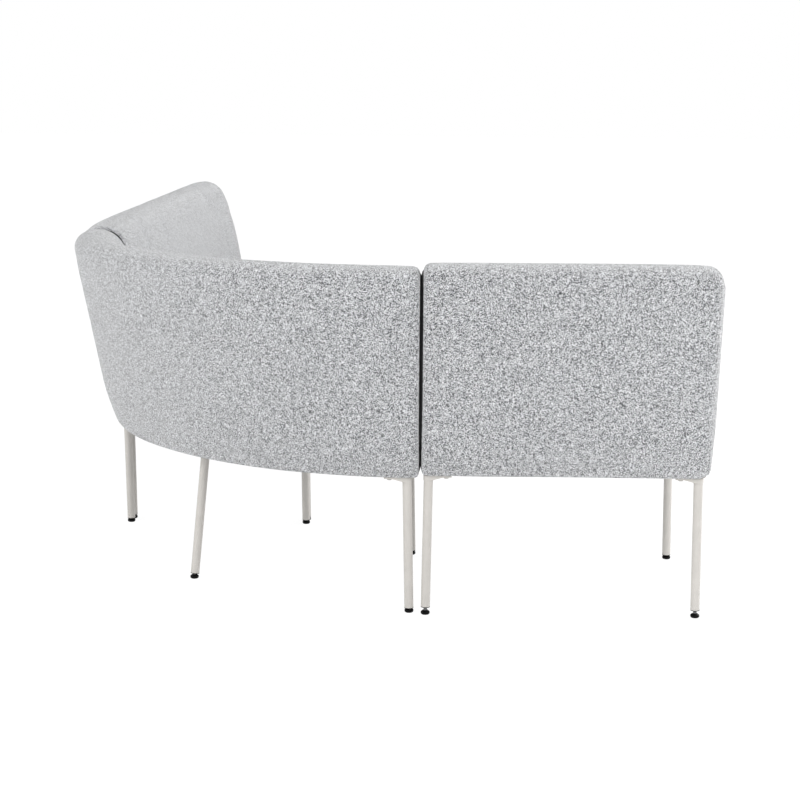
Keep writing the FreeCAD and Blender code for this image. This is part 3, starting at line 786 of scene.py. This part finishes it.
def makePlywood(look):
    material, tree, shader = newMaterial("raw plywood", look["shader"])
    place = addNode(tree, "ShaderNodeTexCoord").outputs["Object"]
    stretched = addNode(tree, "ShaderNodeMapping", {"Vector": place, "Scale": look["stretch"]})
    lines = noiseTexture(tree, stretched.outputs[0], look["scale"], look["detail"]).outputs[0]
    colour = colourRamp(tree, lines, list(zip(colourStops, look["colours"])))
    tree.links.new(colour, shader.inputs["Base Color"])
    connectBump(tree, shader, lines, look["bump"])
    return material


finishes = {slot: makeGrained(look) for slot, look in grainedLooks.items()}
finishes["upholstery"] = makeFabric(fabricLook)
finishes["plywood"] = makePlywood(plywoodLook)
addStem(finishes["glide"], glideStem)
slots = {row["node"]: row["material_slot"] for row in frame["record"]["subparts"]}
for node, shown in frame["nodes"].items():
    shown.data.materials.clear()
    shown.data.materials.append(finishes[slots[node]])
# Each cushion's second slot is the black lining, painted shade on its joint panels
for built in cushions:
    for slot in ("upholstery", "lining"):
        built[0].data.materials.append(finishes[slot])
print("finishes made:", len(finishes))

# Dust covers under the seats: a stretched sheet with a turned hem, held by staples. The border is how
# far they stay inside the seat. The hem's drop and turn and the staples' drop are in thicknesses
dustCover = {
    "border": 0.110,
    "thickness": 0.0007,
    "height": 0.3186,
    "sag": 0.0022,
    "waver": 0.3,
    "waverScale": 9,
    "pitch": 0.03,
    "columns": 10,
    "hemWidth": 0.013,
    "hemColumns": 8,
    "hemDrop": 1.1,
    "hemTurn": 0.1,
    "stapleInset": 0.006,
    "stapleDrop": 2,
}
liningRear = seatRear(backShape["underside"]) + dustCover["border"]
liningFront = seatShape["front"] - dustCover["border"]
liningDepth = liningFront - liningRear


def liningPlace(moduleName):
    module, border = modules[moduleName], dustCover["border"]
    whole = module["length"]
    if moduleName == "corner":
        whole = (plan["cornerReach"] - (liningRear + liningFront) / 2) * math.pi / 2
    edge = border / whole

    def at(along, depth, height):
        share = edge + (1 - 2 * edge) * along
        return module["place"](share, 0, liningRear + liningDepth * depth, height)

    return at, whole - 2 * border


def rowsAlong(length):
    return round(length / dustCover["pitch"])


def edgePath(rows, columns):
    return [*((n / rows, 0) for n in range(rows)), *((1, n / columns) for n in range(columns)),
            *((1 - n / rows, 1) for n in range(rows)), *((0, 1 - n / columns) for n in range(columns))]


def thicken(piece):
    wall = piece.modifiers.new("thickness", "SOLIDIFY")
    wall.thickness = dustCover["thickness"]
    wall.offset = 0


def makeSheet(name, at, length):
    rows, columns = rowsAlong(length), dustCover["columns"]

    def sheetPoint(along, depth):
        point = at(along, depth, dustCover["height"])
        if not 0 < along < 1:
            return point
        sag = dustCover["sag"] * math.sqrt(math.sin(math.pi * along)) * math.sin(math.pi * depth)
        waver = dustCover["waver"] * noise.noise(point * dustCover["waverScale"])
        return point - Vector((0, 0, sag * (1 + waver)))

    spots = [(row / rows, column / columns) for row in range(rows + 1) for column in range(columns + 1)]
    corners = [row * (columns + 1) + column for row in range(rows) for column in range(columns)]
    faces = [(first, first + columns + 1, first + columns + 2, first + 1) for first in corners]
    sheet = newMesh(name, [sheetPoint(*spot) for spot in spots], faces)
    thicken(sheet)
    return sheet


def makeHem(name, at, length):
    low = dustCover["height"] - dustCover["thickness"] * dustCover["hemDrop"]
    turned = low + dustCover["thickness"] * dustCover["hemTurn"]
    edges = [dustCover["hemWidth"] / side for side in (length, liningDepth)]
    points = []
    for spot in edgePath(rowsAlong(length), dustCover["hemColumns"]):
        inner = [min(max(share, edge), 1 - edge) for share, edge in zip(spot, edges)]
        points += [at(*spot, low), at(*inner, turned)]
    count = len(points)
    faces = [(n, n + 1, (n + 3) % count, (n + 2) % count) for n in range(0, count, 2)]
    hem = newMesh(name, points, faces)
    thicken(hem)
    return hem


# The staples along a dust cover's edge. Leg is how far their ends bend up, Turn how far they lie askew
stapleSizes = {"Pitch": 0.042, "Length": 0.011, "Wire": 0.0005, "Leg": 0.0012, "Turn": 0.16}
stapleDetail = {"bendPoints": 7, "wireSides": 6, "seed": 11}


def makeStapleTree():
    inputs = {"Edge": "Geometry", **dict.fromkeys(stapleSizes, "Float"), "Finish": "Material"}
    outputs = {"Staples": "Geometry"}
    tree, given, made = nodeGroup("staples along an edge", "GeometryNodeTree", inputs, outputs)
    path = addNode(tree, "GeometryNodeMeshToCurve", {"Mesh": given.outputs["Edge"]})
    spaced = addNode(tree, "GeometryNodeResampleCurve",
                     {"Curve": path.outputs[0], "Length": given.outputs["Pitch"]}, mode="LENGTH")
    half = calc(tree, "MULTIPLY", given.outputs["Length"], 0.5)
    minus = calc(tree, "MULTIPLY", half, -1.0)
    up = given.outputs["Leg"]
    down = calc(tree, "MULTIPLY", up, -1.0)
    bend = addNode(tree, "GeometryNodeCurvePrimitiveBezierSegment",
                   {"Resolution": stapleDetail["bendPoints"]})
    for key, along, height in (("Start", minus, up), ("Start Handle", minus, down),
                               ("End Handle", half, down), ("End", half, up)):
        corner = addNode(tree, "ShaderNodeCombineXYZ", {0: along, 2: height})
        tree.links.new(corner.outputs[0], bend.inputs[key])
    wire = addNode(tree, "GeometryNodeCurvePrimitiveCircle",
                   {"Resolution": stapleDetail["wireSides"], "Radius": given.outputs["Wire"]})
    staple = addNode(tree, "GeometryNodeCurveToMesh",
                     {"Curve": bend.outputs[0], "Profile Curve": wire.outputs[0], "Fill Caps": True})
    tangent = addNode(tree, "GeometryNodeInputTangent")
    shadeLined = addNode(tree, "FunctionNodeAlignRotationToVector", {"Vector": tangent.outputs[0]}, axis="X")
    least, most = calc(tree, "MULTIPLY", given.outputs["Turn"], -1.0), given.outputs["Turn"]
    turned = addNode(tree, "FunctionNodeRandomValue", {2: least, 3: most, "Seed": stapleDetail["seed"]},
                     data_type="FLOAT")
    spin = addNode(tree, "FunctionNodeAxisAngleToRotation", {"Angle": turned.outputs[1]})
    rotation = addNode(tree, "FunctionNodeRotateRotation",
                       {"Rotation": shadeLined.outputs[0], "Rotate By": spin.outputs[0]}, rotation_space="LOCAL")
    row = addNode(tree, "GeometryNodeInstanceOnPoints",
                  {"Points": spaced.outputs[0], "Instance": staple.outputs[0],
                   "Rotation": rotation.outputs[0]})
    whole = addNode(tree, "GeometryNodeRealizeInstances", {"Geometry": row.outputs[0]})
    coated = addNode(tree, "GeometryNodeSetMaterial",
                     {"Geometry": whole.outputs[0], "Material": given.outputs["Finish"]})
    tree.links.new(coated.outputs[0], made.inputs["Staples"])
    return tree


stapleTree = makeStapleTree()


def setTreeInputs(modifier, values):
    for socket in modifier.node_group.interface.items_tree:
        if socket.in_out == "INPUT" and socket.name in values:
            modifier[socket.identifier] = values[socket.name]


def makeStaples(name, at, length):
    low = dustCover["height"] - dustCover["thickness"] * dustCover["stapleDrop"]
    edges = [dustCover["stapleInset"] / side for side in (length, liningDepth)]
    points = []
    for spot in edgePath(rowsAlong(length), 1):
        inner = [edge + (1 - 2 * edge) * share for share, edge in zip(spot, edges)]
        points.append(at(*inner, low))
    count = len(points)
    guide = newMesh(name + "Guide", points, [], [(n, (n + 1) % count) for n in range(count)])
    stapling = guide.modifiers.new("staples", "NODES")
    stapling.node_group = stapleTree
    setTreeInputs(stapling, {**stapleSizes, "Finish": finishes["staples"]})
    evaluated = guide.evaluated_get(bpy.context.evaluated_depsgraph_get())
    staples = addObject(name, bpy.data.meshes.new_from_object(evaluated))
    bpy.data.objects.remove(guide)
    return staples


def makeDustCover(moduleName):
    at, length = liningPlace(moduleName)
    depth = liningDepth
    cover = makeSheet(moduleName + "Lining", at, length)
    hem = makeHem(moduleName + "LiningHem", at, length)
    staples = makeStaples(moduleName + "LiningStaples", at, length)
    for piece in (cover, hem):
        piece.data.materials.append(finishes["lining"])
    for piece in (cover, hem, staples):
        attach(piece, "root")
    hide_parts(moduleName + "_dust_cover")
    print(moduleName, "dust cover", round(depth, 3), "by", round(length, 3))


for moduleName in modules:
    makeDustCover(moduleName)

# Floor, white surroundings and soft studio light. Only to the camera and in mirrorings does the floor
# glow, and only there are the surroundings quite white
white = (1, 1, 1, 1)
studio = {
    "floorSize": 60,
    "floorShader": {"Base Color": (0.9, 0.9, 0.9, 1), "Roughness": 0.9, "Specular IOR Level": 0.0},
    "floorGlow": 0.88,
    "floorLevel": 1.055,
    "surroundings": (0.83, 0.83, 0.83, 1),
    "lamps": (
        {"at": (-3.2, -1.9, 2.2), "aim": (0.5, 0.5, 0.5), "size": 2.6, "power": 124.0},
        {"at": (3.0, -2.6, 2.2), "aim": (0.86, 0.2, 0.5), "size": 2.6, "power": 84.0},
        {"at": (-0.54, 2.91, 3.8), "aim": (0.36, 1.31, 0.5), "size": 3.0, "power": 20.0},
        {"at": (3.6, 1.8, 2.0), "aim": (0.2, 1.6, 0.6), "size": 2.6, "power": 113.0},
    ),
}


def seenDirectly(tree):
    path = addNode(tree, "ShaderNodeLightPath").outputs
    seen = calc(tree, "MAXIMUM", path["Is Camera Ray"], path["Is Glossy Ray"])
    return calc(tree, "MAXIMUM", seen, path["Is Transmission Ray"])


def makeSurroundings():
    world = bpy.data.worlds.new("studio")
    world.use_nodes = True
    bpy.context.scene.world = world
    tree = world.node_tree
    colour = blendColours(tree, seenDirectly(tree), studio["surroundings"], white)
    tree.links.new(colour, tree.nodes["Background"].inputs["Color"])


def makeFloor():
    bpy.ops.mesh.primitive_plane_add(size=studio["floorSize"])
    floor = bpy.context.object
    floor.name = "floor"
    material, tree, shader = newMaterial("white floor", studio["floorShader"])
    glow = addNode(tree, "ShaderNodeEmission", {"Color": white, "Strength": studio["floorLevel"]})
    share = calc(tree, "MULTIPLY", seenDirectly(tree), studio["floorGlow"])
    mixed = addNode(tree, "ShaderNodeMixShader", {0: share, 1: shader.outputs[0], 2: glow.outputs[0]})
    tree.links.new(mixed.outputs[0], tree.nodes["Material Output"].inputs["Surface"])
    floor.data.materials.append(material)


def makeLamps():
    for number, softbox in enumerate(studio["lamps"], start=1):
        lamp = bpy.data.lights.new("softbox%d" % number, "AREA")
        lamp.shape = "SQUARE"
        lamp.size = softbox["size"]
        lamp.energy = softbox["power"]
        holder = addObject(lamp.name, lamp)
        holder.location = cornerOrigin + Vector(softbox["at"])
        direction = Vector(softbox["aim"]) - Vector(softbox["at"])
        holder.rotation_euler = direction.to_track_quat("-Z", "Y").to_euler()


makeSurroundings()
makeFloor()
makeLamps()
bpy.context.scene.view_settings.view_transform = "Standard"
print("studio set")
